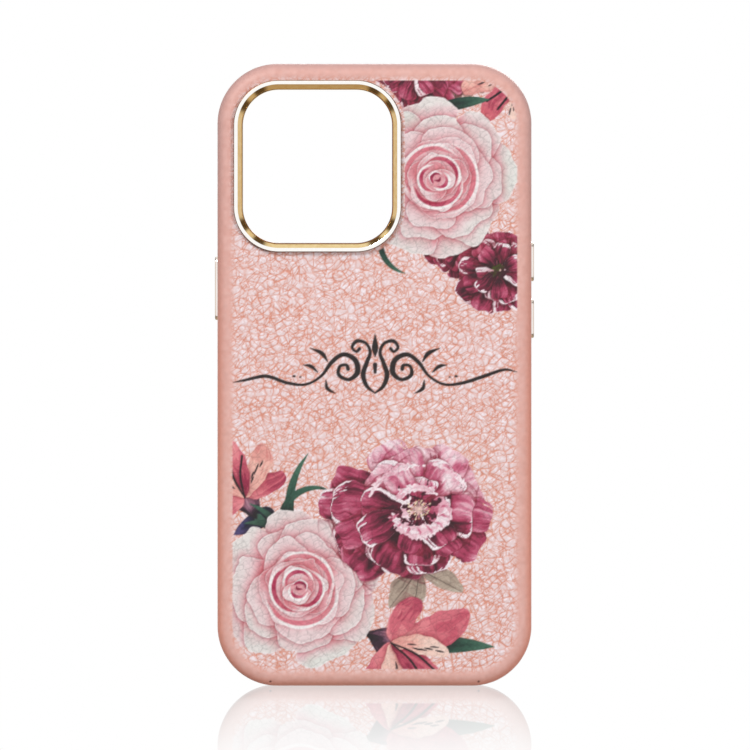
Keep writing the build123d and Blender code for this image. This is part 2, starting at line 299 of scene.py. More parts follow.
def rose(cx, cz, size, turn, seed):
    """A full-blown garden rose: rings of outer petals, then nested ones that close in on the bud."""
    def leaf(degrees, away, across, deep, green, pink, dark, rim=0.32):
        ox, oz = spoke(cx, cz, away, away, degrees)
        reach = max(across, deep) * 1.25 + 0.8
        spot = area(ox - reach, ox + reach, oz - reach, oz + reach)
        if spot is None:
            return
        at, px, pz = spot
        mark = seed + int(away * 7 + degrees % 360)
        wx = px + 2.4 * (noise(px, pz, 4.6, mark) - 0.5) + 0.35 * (noise(px, pz, 1.1, mark) - 0.5)
        wz = pz + 2.4 * (noise(px, pz, 4.6, mark + 3) - 0.5) + 0.35 * (noise(px, pz, 1.1, mark + 3) - 0.5)
        u, v = turned(wx - ox, wz - oz, 90 - degrees)
        square = 2.4
        f = 1 - (np.abs(u / across) ** square + np.abs(v / deep) ** square) ** (1 / square)
        inside = in_mm(f)
        shade(at, inside, 1.0, dark, (0.90, 0.66, 0.69))
        shade(at, inside, 0.13, 0.6 * dark, (0.60, 0.38, 0.42))
        out = turned(px - ox, pz - oz, 90 - degrees)[1] / deep
        wash = 0.35 * (noise(px, pz, 2.6, mark + 1) - 0.5) + 0.12 * (noise(px, pz, 0.6, mark) - 0.5)
        colour = blend(ROSE_PINK, ROSE_PALE, smooth(-0.85, 0.15, out + wash + 1 - pink))
        colour = blend(colour, ROSE_GREEN, green * smooth(-0.1, 0.75, out + wash))
        grey = smooth(0.55, 0.8, noise(px, pz, 3.4, mark + 8)) * 0.45 * green
        colour = blend(colour, (0.765, 0.775, 0.725), grey * smooth(0.9, 0.2, np.abs(out)))
        colour = blend(colour, ROSE_WHITE, 0.75 * smooth(rim, rim * 0.3, inside))
        lay(at, inside, colour)

    outer = ((0.76, 8, 7.0, 5.2, 0.85), (0.56, 7, 6.8, 5.6, 0.6), (0.37, 5, 6.8, 5.8, 0.2))
    for share, count, across, deep, green in outer:
        for k in range(count):
            odd = wander(seed, 9 * count + k)
            degrees = turn + 40 * share * 9 + (k + 0.5 * odd) * 360 / count
            leaf(degrees, size * (share + 0.12 * odd), across * (1 + 0.3 * odd), deep * (1 - 0.2 * odd),
                 green * (0.55 + k % 3 * 0.22), 1.0, 0.75)
    for k in range(6):
        radius = 9.6 - 1.35 * k
        middle = turn + 137.5 * k
        x, z = spoke(cx, cz, 0.9, 0.9, middle)
        deep = radius * (0.92 + 0.06 * wander(seed, k))
        leaf(middle, 0.9, radius, deep, 0.0, 1.05 + 0.12 * k, 0.55 + 0.05 * k, 0.28)
        under = (ROSE_WARM, CRIMSON, ROSE_WARM) if k > 1 else (ROSE_PINK, ROSE_WARM, ROSE_PINK)
        wide = 1.0 - 0.11 * k
        shadow_line = (0.2, 1.5 * wide, 2.0 * wide, 1.3 * wide, 0.2)
        lip_line = (0.1, 0.55, 0.85 * wide, 0.6, 0.5, 0.1)
        arc(x, z, radius - 1.15, radius - 1.25, middle - 85, 170, shadow_line, under)
        arc(x, z, radius - 0.5, radius - 0.6, middle - 100, 200, lip_line, ROSE_WHITE)
    arc(cx, cz, 1.5, 1.3, turn + 60, 170, (0.2, 0.8, 1.0, 0.3), (CRIMSON, (0.50, 0.10, 0.22), CRIMSON))
    arc(cx, cz, 0.9, 0.6, turn + 230, 150, (0.1, 0.6, 0.2), (0.50, 0.10, 0.22))
    arc(cx, cz, 1.9, 1.7, turn + 40, 190, (0.1, 0.35, 0.3, 0.1), ROSE_WHITE)


def blossom(cx, cz, half_x, half_z, turn, seed, heart=(0.0, 0.0), pale=1.0, dark=0.0):
    """A ruffled double blossom: rings of ragged petals, paler towards the light, round a frilled heart."""
    hx, hz = cx + heart[0], cz + heart[1]
    scale = (half_x + half_z) / 36
    for ring, (share, count, width) in enumerate(((1.0, 12, 9.6), (0.80, 9, 8.6), (0.60, 7, 7.2))):
        for k in range(count):
            degrees = turn + 20 * ring + (k + 0.5 * wander(seed, 20 * ring + k)) * 360 / count
            lit = math.cos(math.radians(degrees - 62)) * pale
            out = share * (1 + 0.26 * wander(seed + 1, 20 * ring + k))
            tip = spoke(cx, cz, half_x, half_z, degrees, out)
            base = hx + 0.16 * (tip[0] - hx), hz + 0.16 * (tip[1] - hz)
            stops = PEONY[2:] if lit > 0.45 else PEONY[:5]
            rim = (0, 0) if ring == 0 and lit > -0.2 or k % 3 == 1 else ((2, 1, -1)[k % 3], 1.0)
            mark = seed + 3 * (20 * ring + k)
            wide = width * scale * (1 + 0.5 * wander(seed + 2, 20 * ring + k))
            tones = (-0.16 + 0.1 * ring - dark, 0.66 + 0.16 * lit - dark)
            ragged = 0.24 if rim[1] else 0.42
            petal(base, tip, wide, 0.06 * wander(seed, k), 0.22, stops, tones, mark, ragged, 0.38,
                  rim, shadow=0.75)
    if scale < 0.8:
        arc(hx, hz, 1.1, 0.9, turn, 300, (0.6, 1.6, 1.8, 1.6, 0.6), (DEEP, (0.25, 0.28, 0.09), DEEP), 1.2)
        return
    for k in range(7):
        degrees = turn + 51 * k
        x, z = spoke(hx, hz, half_x * 0.42, half_z * 0.42, degrees)
        line = [(hx, hz, 0.3), ((hx + x) / 2, (hz + z) / 2, 1.3), (x, z, 0.2)]
        stroke(line, (DEEP, (0.33, 0.09, 0.17), DEEP), 1.2)
    curls = ((0.62, 60, 80, 1.5), (0.66, 5, 45, 1.2), (0.30, 20, 110, 2.2), (0.33, 165, 200, 3.4),
             (0.18, 100, 120, 1.6))
    for share, start, sweep, wide in curls:
        line = (0.3, wide * 0.7, wide, wide * 0.8, wide * 1.05, 0.3)
        stops = RUFFLE if wide > 2 else CURL
        arc(hx, hz, half_x * share, half_z * share, turn + start, sweep, line, stops, 0.9)
    for k in range(8):
        degrees = turn + 170 + 24 * k
        line = []
        for lean, share, wide in ((0, 0.25, 0.1), (6, 0.32, 0.6), (4, 0.40, 0.1)):
            line.append((*spoke(hx, hz, half_x, half_z, degrees + lean, share), wide))
        stroke(line, (BLUSH, MAUVE, BLUSH), 0.4)
    for k in range(5):
        x, z = spoke(hx, hz, 3.6, 2.8, turn + 72 * k)
        stroke([(hx, hz, 0.8), (x, z, 0.7)], DEEP, 1.3)
    for k in range(24):
        x, z = spoke(hx, hz, 3.4, 2.8, 15 * k, 0.45 + 0.5 * (wander(seed, 90 + k) + 0.5))
        stroke([(hx, hz, 0.15), (x, z, 0.2)], CREAM if k % 2 else BLUSH)
        stroke([(x, z, 0.4), (x + 0.2, z + 0.1, 0.3)], CREAM if k % 3 else (0.75, 0.52, 0.42))


def blade(x, z, heading, curve, long, width, stops=GREENS):
    """A long leaf that bends evenly by curve degrees and tapers to a point."""
    line = []
    steps = 6
    for k in range(steps):
        line.append((x, z, width * (1 - (k / (steps - 1)) ** 2.5) + 0.1))
        x, z = spoke(x, z, long / steps, long / steps, heading + curve * k / steps)
    stroke(line, stops)


def lily(cx, cz, turn, long, seed):
    """An open lily from the side: calyx behind, plain outer petals, speckled inner ones, dark stamens."""
    back = spoke(cx, cz, long, long, turn + 186, 0.36)
    blade(*back, turn + 196, 60, 0.5 * long, 0.12 * long, GREENS[2:0:-1])
    petal(back, (cx, cz), 0.36 * long, 0.0, 0.2, CALYX, (-0.05, 0.75), seed + 9, 0.3, 0.3, full=1.2)
    petals = (
        (46, 1.0, 0.42, SALMON[3::-1], 0.1, 0.65), (-88, 0.7, 0.30, SALMON, 0.55, 0.1),
        (84, 0.62, 0.30, SALMON, 0.5, 0.15), (-48, 0.85, 0.34, BLUSHED, 0.5, 0.15),
        (-14, 0.85, 0.30, SALMON, 0.0, 0.4), (16, 0.7, 0.24, BLUSHED, 0.2, 0.75))
    for k, (lean, share, width, stops, low, high) in enumerate(petals):
        tip = spoke(cx, cz, long, long, turn + lean, share)
        petal((cx, cz), tip, width * long, 0.06 * (k % 3 - 1), 0.5, stops, (low, high), seed + k, 0.06, 0.18)
    for k in range(11):
        lean = (16, -48)[k % 2] + 14 * wander(seed, k)
        share = 0.20 + 0.034 * k
        line = []
        for more, wide in ((0.0, 0.15), (0.05, 0.36), (0.10, 0.15)):
            line.append((*spoke(cx, cz, long, long, turn + lean, share + more), wide))
        stroke(line, BLACK)
    for lean in (-24, -6):
        middle = spoke(cx, cz, long, long, turn + lean + 8, 0.32)
        tip = spoke(cx, cz, long, long, turn + lean, 0.62)
        stroke([(cx, cz, 0.3), (*middle, 0.5), (*tip, 0.45)], BLACK)


def spray(x, z, headings, long, width, seed):
    """Soft grey leaves that fan out from one stalk."""
    for k, heading in enumerate(headings):
        tip = spoke(x, z, long, long, heading, 1 - 0.12 * (k % 2))
        petal((x, z), tip, width, 0.05 * (k % 3 - 1), 0.75, TAUPE, (0.35, 0.8), seed + k, 0.12, 0.22,
              shadow=0.2)
        stroke([(x, z, 0.3), (*tip, 0.08)], TAUPE[0])


# the bouquets, from the back layer to the front one
spray(20.0, 150.0, (-92, -62, -38), 8.5, 4.2, 3)
spray(11.0, 28.5, (-128, -98, -28), 12.0, 4.8, 5)
blossom(9.5, 150.6, 12.0, 12.5, 10, 21, pale=0.2, dark=0.05)
blossom(21.0, 107.5, 8.6, 7.4, 80, 47, pale=0.0, dark=0.3)
blossom(30.6, 101.4, 11.0, 10.4, 35, 60, pale=0.4, dark=0.14)
blade(-26.4, 41.6, 208, 8, 11.0, 4.4, ((0.05, 0.05, 0.10), (0.13, 0.13, 0.25), (0.30, 0.28, 0.46)))
blade(12.6, 10.0, 2, -10, 20.0, 4.2)
lily(35.0, 150.0, -112, 17.0, 26)
lily(-31.6, 46.0, 118, 16.5, 31)
lily(4.0, 10.6, -26, 20.5, 41)
blade(-22.8, 38.4, 128, 40, 12.0, 1.7)
blade(-20.4, 39.0, 96, -58, 22.5, 2.2)
blade(-22.6, 39.0, 84, -150, 22.0, 1.8)
blade(-23.6, 39.0, 165, 30, 10.0, 1.7)
blade(1.6, 106.6, -70, 75, 10.5, 1.3)
blade(18.6, 141.6, 14, -16, 11.5, 2.8)

rose(15.2, 123.8, 18.4, 0.0, 100)
rose(-18.2, 24.2, 18.8, -77.0, 140)
blossom(7.2, 41.8, 20.0, 17.2, 24, 200, heart=(3.6, 1.4), dark=0.05)

# a letterless pen flourish across the middle, the same on both sides but for the height of its ends
INK = (0.105, 0.075, 0.075)
FLOURISH_X = 0.15
for side, end in ((-1, 74.1), (1, 76.6)):
    def flip(rows):
        """Points given for the right half, set on this side."""
        return [(FLOURISH_X + side * x, z, w) for x, z, w in rows]
    stroke(flip((
        (34.6, end, 0.12), (31.5, end + 0.6, 0.6), (26.5, 75.6, 0.8), (21.5, 74.0, 0.75), (17.0, 73.6, 0.6),
        (13.2, 75.6, 0.62), (10.6, 79.0, 0.95), (7.8, 80.9, 1.0), (4.9, 79.6, 1.25), (4.3, 76.6, 1.3),
        (6.4, 74.8, 0.8), (8.8, 75.9, 0.9), (8.6, 78.0, 0.7), (7.0, 78.3, 0.75), (6.6, 77.4, 0.95))), INK)
    stroke(flip((
        (0.0, 71.5, 0.3), (2.0, 73.2, 0.9), (2.9, 76.0, 1.15), (2.0, 79.0, 1.0), (1.2, 81.4, 0.8),
        (2.2, 83.6, 0.7), (4.4, 84.2, 0.85), (5.6, 82.7, 0.7), (4.6, 81.6, 0.6), (3.8, 82.3, 0.8))), INK)
    stroke(flip(((11.6, 79.2, 0.25), (13.0, 81.2, 1.0), (15.9, 82.5, 0.1))), INK)
    stroke(flip(((14.0, 76.6, 0.25), (15.6, 78.0, 0.85), (17.6, 78.4, 0.1))), INK)
    stroke(flip(((12.0, 74.6, 0.2), (11.6, 72.6, 0.85), (9.6, 71.4, 0.1))), INK)
    stroke(flip(((19.6, 75.6, 0.5), (19.9, 75.6, 0.5))), INK)
    stroke(flip(((18.1, 75.4, 0.35), (18.3, 75.4, 0.35))), INK)
stroke([(FLOURISH_X, 80.4, 0.2), (FLOURISH_X, 82.6, 1.5), (FLOURISH_X, 85.9, 0.1)], INK)
stroke([(FLOURISH_X, 76.6, 0.7), (FLOURISH_X, 78.4, 1.1)], INK)

# the print stops short of the rolled edge and of the camera frame
PRINT_X, PRINT_Z, PRINT_HALF, PRINT_R = 0.1, 75.95, (34.7, 71.75), 11.0
FRAME_GAP, FRAME_GAP_R = 0.85, 11.6
sheet = rounded(CANVAS_X - PRINT_X, CANVAS_Z - PRINT_Z, *PRINT_HALF, PRINT_R)
hole = rounded(
    CANVAS_X - FRAME_X, CANVAS_Z - FRAME_Z, FRAME_HALF[0] + FRAME_GAP, FRAME_HALF[1] + FRAME_GAP, FRAME_GAP_R)
trim_to = np.clip(0.5 - sheet / DOT, 0, 1) * np.clip(0.5 + hole / DOT, 0, 1)
cover *= trim_to
paint *= trim_to[..., None]


def printed(x, z):
    """Ink colour and its cover at places on the back."""
    u = np.clip((x - LEFT) / DOT, 0, CANVAS_X.shape[1] - 1.001)
    v = np.clip((z - BOTTOM) / DOT, 0, CANVAS_X.shape[0] - 1.001)
    i, j = u.astype(int), v.astype(int)
    total, colour = 0.0, 0.0
    for di, wi in ((0, 1 - (u - i)), (1, u - i)):
        for dj, wj in ((0, 1 - (v - j)), (1, v - j)):
            total = total + cover[j + dj, i + di] * wi * wj
            colour = colour + paint[j + dj, i + di] * (wi * wj)[:, None]
    on = (np.abs(x) < 35.2) & (np.abs(z - MID_Z) < 72.5)
    return colour * on[:, None], total * on


# ================================================================== surfaces
def outline(p):
    """Distance outside the edge where the back starts to roll over, and the direction straight out of it."""
    x, z = p[:, 0], p[:, 1] - MID_Z
    r = CORNER - ROUND
    qu, qv = np.abs(x) - (HALF_W - CORNER), np.abs(z) - (HALF_H - CORNER)
    au, av = np.maximum(qu, 0), np.maximum(qv, 0)
    length = np.hypot(au, av)
    d = length + np.minimum(np.maximum(qu, qv), 0) - r
    far = np.maximum(length, 1e-9)
    return d, np.sign(x) * au / far, np.sign(z) * av / far


def wrapped(p):
    """Places on the case's skin, and the directions straight out of it, of points on the skin laid flat."""
    d, nx, nz = outline(p)
    run = np.clip(d, 0, SKIRT)
    turn = np.minimum(run / ROUND, math.pi / 2)
    out = ROUND * np.sin(turn) - np.maximum(d, 0)
    y = BACK_Y + ROUND * (1 - np.cos(turn)) + np.maximum(run - QUARTER, 0)
    place = np.stack([p[:, 0] + nx * out, y, p[:, 1] + nz * out], 1)
    return place, np.stack([nx * np.sin(turn), -np.cos(turn), nz * np.sin(turn)], 1)


def outside_frame(x, z, inset):
    """Distance outside the camera frame's outline, drawn in by inset."""
    return rounded(x - FRAME_X, z - FRAME_Z, FRAME_HALF[0] - inset, FRAME_HALF[1] - inset, FRAME_R - inset)


def skin_left(p):
    """How far each point of the flat skin is from the nearest cut in it; negative where it is cut away."""
    (x, y, z), d = wrapped(p)[0].T, outline(p)[0]
    left = np.minimum(SKIRT - d, outside_frame(x, z, WINDOW_INSET))
    y = y - SIDE_Y
    wall, elsewhere = 0.5, 99      # openings are cut within this much of the outermost skin
    cuts = [(side, mid, length / 2 + KEY_GAP, SLOT_HALF, SLOT_R) for side, mid, length in KEYS.values()]
    for side, mid, half, wide, r in cuts + [ALERT_SWITCH]:
        opening = rounded(z - mid, y, half, wide, r)
        left = np.minimum(left, np.where(x * side > HALF_W - wall, opening, elsewhere))
    for mid, half, wide, r in BOTTOM_OPENINGS:
        opening = rounded(x - mid, y, half, wide, r)
        left = np.minimum(left, np.where(z < wall, opening, elsewhere))
    return left


def clipped_grid(xs, zs, left):
    """Points and faces of a flat grid, cut cleanly where left() falls below zero."""
    gx, gz = np.meshgrid(xs, zs)
    points = np.stack([gx.ravel(), gz.ravel()], 1)
    s = left(points)
    number = np.arange(len(points)).reshape(gx.shape)
    quads = np.stack([number[:-1, :-1], number[:-1, 1:], number[1:, 1:], number[1:, :-1]], -1).reshape(-1, 4)
    count = (s[quads] > 0).sum(1)
    faces = quads[count == 4].tolist()
    extra, known = [], {}
    for quad in quads[(count > 0) & (count < 4)].tolist():
        loop = []
        for a, b in zip(quad, quad[1:] + quad[:1]):
            if s[a] > 0:
                loop.append(a)
            if (s[a] > 0) != (s[b] > 0):
                key = (min(a, b), max(a, b))
                if key not in known:
                    known[key] = len(points) + len(extra)
                    t = s[key[0]] / (s[key[0]] - s[key[1]])
                    extra.append(points[key[0]] * (1 - t) + points[key[1]] * t)
                loop.append(known[key])
        if len(loop) > 2:
            faces.append(loop)
    points = np.vstack([points, extra])
    used = np.zeros(len(points), bool)
    used[np.fromiter((v for f in faces for v in f), int)] = True
    fresh = np.cumsum(used) - 1
    return points[used], [[int(fresh[v]) for v in f] for f in faces]


def rim_edges(faces):
    """Edges that belong to one face only, each in the direction that its face runs."""
    pairs = np.array([(a, b) for f in faces for a, b in zip(f, f[1:] + f[:1])])
    big = pairs.max() + 1
    ahead, back = pairs[:, 0] * big + pairs[:, 1], pairs[:, 1] * big + pairs[:, 0]
    return pairs[~np.isin(ahead, back)]


def make(name, places, faces, sharp=35.0):
    """A smooth-shaded mesh object from places in mm."""
    mesh = bpy.data.meshes.new(name)
    mesh.from_pydata((np.asarray(places, float) * MM).tolist(), [], faces)
    mesh.validate()
    mesh.shade_smooth()
    mesh.set_sharp_from_angle(angle=math.radians(sharp))
    piece = bpy.data.objects.new(name, mesh)
    bpy.context.scene.collection.objects.link(piece)
    return piece


def sheet_piece(name, places, out, faces, thick, sharp):
    """A sheet with its cut edges turned in by its thickness."""
    edges = rim_edges(faces)
    rim = np.unique(edges)
    under = {int(v): len(places) + k for k, v in enumerate(rim)}
    places = np.vstack([places, places[rim] - out[rim] * thick])
    faces = faces + [[b, a, under[a], under[b]] for a, b in edges.tolist()]
    return make(name, places, faces, sharp), rim


def ring(u, v, half_u, half_v, r, steps):
    """Points round a rounded rectangle, the same number whatever its size."""
    points = []
    for k, (su, sv) in enumerate(((1, 1), (-1, 1), (-1, -1), (1, -1))):
        for i in range(steps + 1):
            a = math.radians(90 * k + 90 * i / steps)
            points.append((u + su * (half_u - r) + r * math.cos(a), v + sv * (half_v - r) + r * math.sin(a)))
    return points


def loft(rings, closed):
    """Faces that join rings of points; closed joins the last to the first, otherwise both ends are capped."""
    n = len(rings[0])
    faces = []
    for k in range(len(rings) if closed else len(rings) - 1):
        a, b = k * n, (k + 1) % len(rings) * n
        faces += [[a + i, a + (i + 1) % n, b + (i + 1) % n, b + i] for i in range(n)]
    if not closed:
        faces += [list(range(n))[::-1], list(range((len(rings) - 1) * n, len(rings) * n))]
    return [p for r in rings for p in r], faces


# ================================================================== materials
def material(name, colour, metallic, roughness):
    """A Principled material with its nodes, ready for a pattern to be linked in."""
    mat = bpy.data.materials.new(name)
    mat.use_nodes = True
    nodes, links = mat.node_tree.nodes, mat.node_tree.links
    shader = nodes["Principled BSDF"]
    shader.inputs["Base Color"].default_value = (*colour, 1)
    shader.inputs["Metallic"].default_value = metallic
    shader.inputs["Roughness"].default_value = roughness
    return mat, nodes, links, shader


def pattern(nodes, links, scale, detail, stretch=(1, 1, 1)):
    """A noise texture in the part's own metres; scale is the feature size in mm. Returns its value."""
    where = nodes.new("ShaderNodeTexCoord")
    size = nodes.new("ShaderNodeMapping")
    size.inputs["Scale"].default_value = [s / (scale * MM) for s in stretch]
    links.new(where.outputs["Object"], size.inputs["Vector"])
    tex = nodes.new("ShaderNodeTexNoise")
    tex.inputs["Scale"].default_value = 1.0
    tex.inputs["Detail"].default_value = detail
    links.new(size.outputs["Vector"], tex.inputs["Vector"])
    return tex.outputs["Fac"]


def spread(nodes, links, value, low, high):
    """A texture's value, mostly between 0.25 and 0.75, turned into the range low to high."""
    node = nodes.new("ShaderNodeMapRange")
    node.inputs["From Min"].default_value = 0.25
    node.inputs["From Max"].default_value = 0.75
    node.inputs["To Min"].default_value = low
    node.inputs["To Max"].default_value = high
    links.new(value, node.inputs["Value"])
    return node.outputs["Result"]


def mixed(nodes, links, factor, a, b, mode="MIX"):
    """Mixes two colours, either of which may be a socket."""
    node = nodes.new("ShaderNodeMix")
    node.data_type = "RGBA"
    node.blend_type = mode
    for socket, value in ((node.inputs[0], factor), (node.inputs[6], a), (node.inputs[7], b)):
        if isinstance(value, bpy.types.NodeSocket):
            links.new(value, socket)
        else:
            socket.default_value = value if isinstance(value, float) else (*value, 1)
    return node.outputs[2]


def bumped(nodes, links, shader, height, distance, strength):
    """Relief from a height, in mm."""
    bump = nodes.new("ShaderNodeBump")
    bump.inputs["Distance"].default_value = distance * MM
    bump.inputs["Strength"].default_value = strength
    links.new(height, bump.inputs["Height"])
    links.new(bump.outputs["Normal"], shader.inputs["Normal"])


def linear(c):
    """Screen colour to linear."""
    c = np.clip(np.asarray(c, float), 0, 1)
    return np.where(c <= 0.04045, c / 12.92, ((c + 0.055) / 1.055) ** 2.4)


def tone(*rgb):
    """A linear colour from screen values of 0 to 255."""
    return tuple(float(v) for v in linear(np.array(rgb) / 255))


def leather_material():
    """The print, the leather's colours and their painted sheen and shade come from the mesh's colours; fine
    grain and a little mottling are added here.
    """
    mat, nodes, links, shader = material("leather", (0.8, 0.5, 0.45), 0.0, 0.5)
    shader.inputs["Specular IOR Level"].default_value = 0.42
    ink_and_painted_light = nodes.new("ShaderNodeAttribute")
    ink_and_painted_light.attribute_name = "ink_and_painted_light"
    wide = pattern(nodes, links, 1.3, 4.0)
    fine = pattern(nodes, links, 0.35, 3.0)
    lighter = spread(nodes, links, wide, 0.955, 1.045)
    grey = nodes.new("ShaderNodeCombineColor")
    for k in range(3):
        links.new(lighter, grey.inputs[k])
    mottled = mixed(nodes, links, 1.0, ink_and_painted_light.outputs["Color"], grey.outputs[0], "MULTIPLY")
    links.new(mottled, shader.inputs["Base Color"])
    links.new(spread(nodes, links, fine, 0.40, 0.58), shader.inputs["Roughness"])
    bumped(nodes, links, shader, fine, 0.035, 0.6)
    return mat


def plain(name, colour, other, size, metallic, rough, relief, stretch=(1, 1, 1)):
    """A finish that wanders between two screen colours and two roughnesses, with a little relief in mm."""
    colour, other = tone(*colour), tone(*other)
    mat, nodes, links, shader = material(name, colour, metallic, rough[0])
    value = pattern(nodes, links, size, 3.0, stretch)
    wandering = mixed(nodes, links, spread(nodes, links, value, 0, 1), colour, other)
    links.new(wandering, shader.inputs["Base Color"])
    links.new(spread(nodes, links, value, *rough), shader.inputs["Roughness"])
    if relief:
        bumped(nodes, links, shader, value, relief, 0.7)
    return mat


finishes = {"leather": leather_material()}
for name, *looks in (
        ("bond_film", (236, 232, 222), (224, 219, 206), 1.5, 0.0, (0.35, 0.5), 0.01),
        ("shell_plastic", (214, 160, 150), (206, 151, 141), 0.8, 0.0, (0.42, 0.52), 0.012),
        ("soft_rubber", (219, 160, 148), (211, 150, 138), 0.5, 0.0, (0.55, 0.68), 0.02),
        ("microfibre", (205, 158, 150), (178, 130, 122), 0.45, 0.0, (0.85, 0.98), 0.12),
        ("gasket", (52, 46, 44), (40, 36, 35), 0.3, 0.0, (0.7, 0.85), 0.02),
        ("key_metal", (246, 240, 236), (238, 228, 222), 0.6, 1.0, (0.12, 0.2), 0.0, (1, 1, 0.08)),
        ("spring_steel", (196, 198, 200), (178, 180, 184), 0.2, 1.0, (0.3, 0.42), 0.002, (1, 1, 0.05)),
        ("silicone", (228, 226, 222), (214, 212, 208), 0.9, 0.0, (0.45, 0.6), 0.01),
        ("frame_polish", (255, 254, 251), (251, 248, 243), 0.8, 1.0, (0.08, 0.14), 0.0),
        ("frame_gilt", (244, 222, 174), (232, 202, 146), 0.5, 1.0, (0.10, 0.17), 0.002, (0.4, 1, 0.4)),
        # dark bronze for the frame's edges: a painted dark reflection and a painted shadow line
        ("frame_dark", (132, 92, 62), (108, 74, 50), 0.5, 1.0, (0.3, 0.42), 0.0)):
    finishes[name] = plain(name, *looks)


def finish(piece, body, slot, *nodes):
    """Hangs a new piece on the body that it rides on, gives it its slot's material if it has none, and hides
    the CAD nodes that it stands for.
    """
    if not piece.data.materials:
        piece.data.materials.append(finishes[slot])
    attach(piece, body)
    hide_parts(*nodes)


# ================================================================== the leather
flat_step, side_step = 0.21, 0.3       # between the mesh's points


def lines(half):
    """Grid lines, close over the flat and a little wider down the sides."""
    flat = np.linspace(-half, half, int(2 * half / flat_step))
    side = np.arange(1, int(SKIRT / side_step) + 2) * side_step
    return np.concatenate([-half - side[::-1], flat, half + side])


points, faces = clipped_grid(lines(HALF_W - ROUND), MID_Z + lines(HALF_H - ROUND), skin_left)
places, out = wrapped(points)
px, pz = points.T
edge = outline(points)[0]

# Pebbled grain: straight-sided creases between cells, crossed by slanting hairlines; the rolled edge is plain
bend_x = px + 0.9 * (noise(px, pz, 3.1, 1) - 0.5) + 0.22 * (noise(px, pz, 0.9, 2) - 0.5)
bend_z = pz + 0.9 * (noise(px, pz, 3.1, 3) - 0.5) + 0.22 * (noise(px, pz, 0.9, 4) - 0.5)


def between_cells(size, degrees, seed):
    """How far each point is from the border between two cells, as a gap in mm."""
    x, z = turned(bend_x, bend_z, degrees)
    near, far = cells(x * 0.86, z * 1.14, size, seed)
    return far - near


def hatching(degrees, apart, line, seed):
    """1 along thin broken lines that run at a slant, about apart mm from one another."""
    u, v = turned(bend_x, bend_z, degrees)
    v = v + 1.4 * (noise(u, v, 4.0, seed) - 0.5)
    row = np.floor(v / apart)
    middle = 0.25 + 0.5 * noise(u, row * 9.0, 3.0, seed + 1)
    drawn = smooth(0.42, 0.56, noise(u, row * 8.5, 1.7, seed + 2))
    return np.exp(-((v / apart - row - middle) * apart / line) ** 2) * drawn


gap = between_cells(1.9, -14, 5)
gap2 = between_cells(1.2, 20, 6)
strong = 0.35 + 0.65 * smooth(0.3, 0.65, noise(px, pz, 1.9, 8))
crease = np.exp(-(gap / 0.19) ** 2) * strong
wrinkle = np.exp(-(gap2 / 0.16) ** 2) * smooth(0.42, 0.72, noise(px, pz, 1.6, 9))
hair = np.maximum(hatching(33, 1.25, 0.10, 17), hatching(-38, 1.15, 0.10, 23))
hair = np.maximum(hair, hatching(78, 2.1, 0.09, 29))
dome = 1 - np.exp(-gap / 0.40)
grain = 1 - smooth(-1.9, 0.5, edge)
colour, laid = printed(px, pz)
sunk = 0.13 * np.maximum(crease, 0.6 * np.maximum(wrinkle, hair))
relief = grain * (sunk + 0.05 * (1 - dome) + 0.05 * noise(px, pz, 0.5, 12))
relief = relief * (1 - 0.55 * laid) + (1 - grain) * 0.02 * noise(px, pz, 0.6, 13)
pin = np.zeros(len(px))
for x in (-PIN_X, PIN_X):
    away = np.hypot(places[:, 0] - x, places[:, 2] - PIN_Z)
    pin = np.maximum(pin, smooth(0.34, 0.12, away) * (places[:, 1] < 0))
places = places - out * (relief + 0.25 * pin)[:, None]

# Pebble colours: the tops are painted paler as painted sheen; the valley colour is the leather's own salmon,
# shown in the creases and hairlines
SHEEN_TOP, GLINT_TOP, VALLEY = (0.900, 0.808, 0.810), (0.948, 0.908, 0.932), (0.828, 0.556, 0.482)
# Colours for the rolled edge: the first for the bottom with painted shade, warmer and a little darker; the
# second for the top with painted sheen, greyer; the wall's is its own colour
EDGE_BOTTOM_SHADE, EDGE_TOP_SHEEN, WALL = (0.900, 0.592, 0.516), (0.822, 0.648, 0.625), (0.885, 0.650, 0.600)
# painted glints: bright flecks of painted highlight on the pebble tops
glint = smooth(0.40, 0.70, noise(px * 1.3 + pz * 0.5, pz * 1.5 - px * 0.4, 0.55, 14))
glint = glint * (0.5 + 0.5 * smooth(0.35, 0.65, noise(px, pz, 1.1, 20)))
base = blend(SHEEN_TOP, GLINT_TOP, glint * smooth(0.2, 0.7, dome))
# painted shade: each pebble darkens towards its creases
base = blend(base, (0.880, 0.700, 0.670), (1 - dome) * 0.45)
base = blend(base, VALLEY, np.clip(0.95 * crease + 0.75 * wrinkle + 0.90 * hair, 0, 1))
skin = blend((0.850, 0.642, 0.600), (0.875, 0.690, 0.655), noise(px, pz, 0.9, 15))
# painted light on the rolled edge: from painted shade at the bottom to painted sheen at the top, by height
rolled = smooth(0.6, 3.6, edge)[:, None]
skin = skin * (1 - rolled) + blend(EDGE_BOTTOM_SHADE, EDGE_TOP_SHEEN, smooth(60, 150, pz)) * rolled
skin = blend(skin, WALL, smooth(4.0, 6.5, edge))
base = blend(skin, base, grain)
# painted crease shade: the print is darkened along the creases, wrinkles and hairlines
crease_shade = 1 - 0.13 * np.clip(np.exp(-(gap / 0.15) ** 2) * strong + 0.5 * wrinkle + 0.6 * hair, 0, 1)
mottled = 0.985 + 0.03 * noise(px, pz, 0.6, 16)
base = base * (1 - laid[:, None]) + colour * (crease_shade * mottled)[:, None]
base = blend(base, (0.35, 0.20, 0.18), 0.8 * pin)

